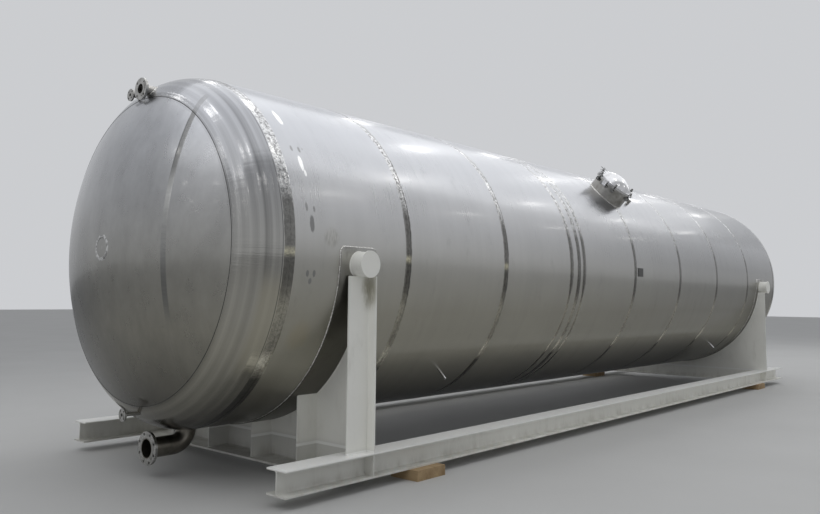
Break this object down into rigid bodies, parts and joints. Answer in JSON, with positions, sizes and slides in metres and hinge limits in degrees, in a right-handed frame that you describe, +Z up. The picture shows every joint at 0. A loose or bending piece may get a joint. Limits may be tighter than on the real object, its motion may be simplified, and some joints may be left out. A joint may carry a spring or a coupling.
{
  "type": "horizontal pressure tank",
  "caption": "Horizontal stainless pressure tank with dished ends, side manway and end nozzles, on two saddles with trunnions over a pair of I-section rails and timber blocks",
  "frame": {"origin": "on the floor under the middle of the box round the whole object", "axes": "+X along the tank from the end with the nozzles to the plain end, -Y towards the side with the manway, +Z up"},
  "size_m": [13.3637, 3.45, 3.434],
  "materials": {
    "shell_steel": "cold rolled satin stainless plate",
    "head_steel": "pressed and brushed stainless plate",
    "weld_steel": "ground weld with heat tint",
    "wear_steel": "bare stainless plate",
    "pipe_steel": "drawn stainless pipe",
    "flange_steel": "turned stainless",
    "bolt_steel": "dull bolts",
    "dark_plate": "dark bare plate",
    "stand_paint": "off white satin primer",
    "timber": "rough sawn softwood"
  },
  "bodies": {
    "root": {"shell_course_1": "shell_steel", "shell_course_2": "shell_steel", "shell_course_3": "shell_steel", "shell_course_4": "shell_steel", "shell_course_5": "shell_steel", "shell_course_6": "shell_steel", "shell_course_7": "shell_steel", "shell_course_8": "shell_steel", "front_knuckle": "head_steel", "front_crown": "head_steel", "rear_knuckle": "head_steel", "rear_crown": "head_steel", "crown_patch": "head_steel", "shell_seams": "weld_steel", "head_seams": "weld_steel", "wear_plates": "wear_steel", "front_saddle_web": "stand_paint", "rear_saddle_web": "stand_paint", "front_saddle_ribs": "stand_paint", "rear_saddle_ribs": "stand_paint", "front_saddle_base": "stand_paint", "rear_saddle_base": "stand_paint", "trunnion_pipes": "stand_paint", "trunnion_caps": "stand_paint", "near_rail": "stand_paint", "far_rail": "stand_paint", "rail_stiffeners": "stand_paint", "timber_blocks": "timber", "vent_pipe": "pipe_steel", "small_pipes": "pipe_steel", "drain_pipe": "pipe_steel", "drain_elbow": "pipe_steel", "drain_stub": "pipe_steel", "manway_neck": "pipe_steel", "top_coupling": "pipe_steel", "vent_flange": "flange_steel", "small_flanges": "flange_steel", "drain_flange": "flange_steel", "manway_flange": "flange_steel", "manway_cover": "flange_steel", "cover_handle": "flange_steel", "underside_rods": "flange_steel", "manway_lugs": "bolt_steel", "swing_bolts": "bolt_steel", "bare_plate": "dark_plate"}
  },
  "joints": []
}
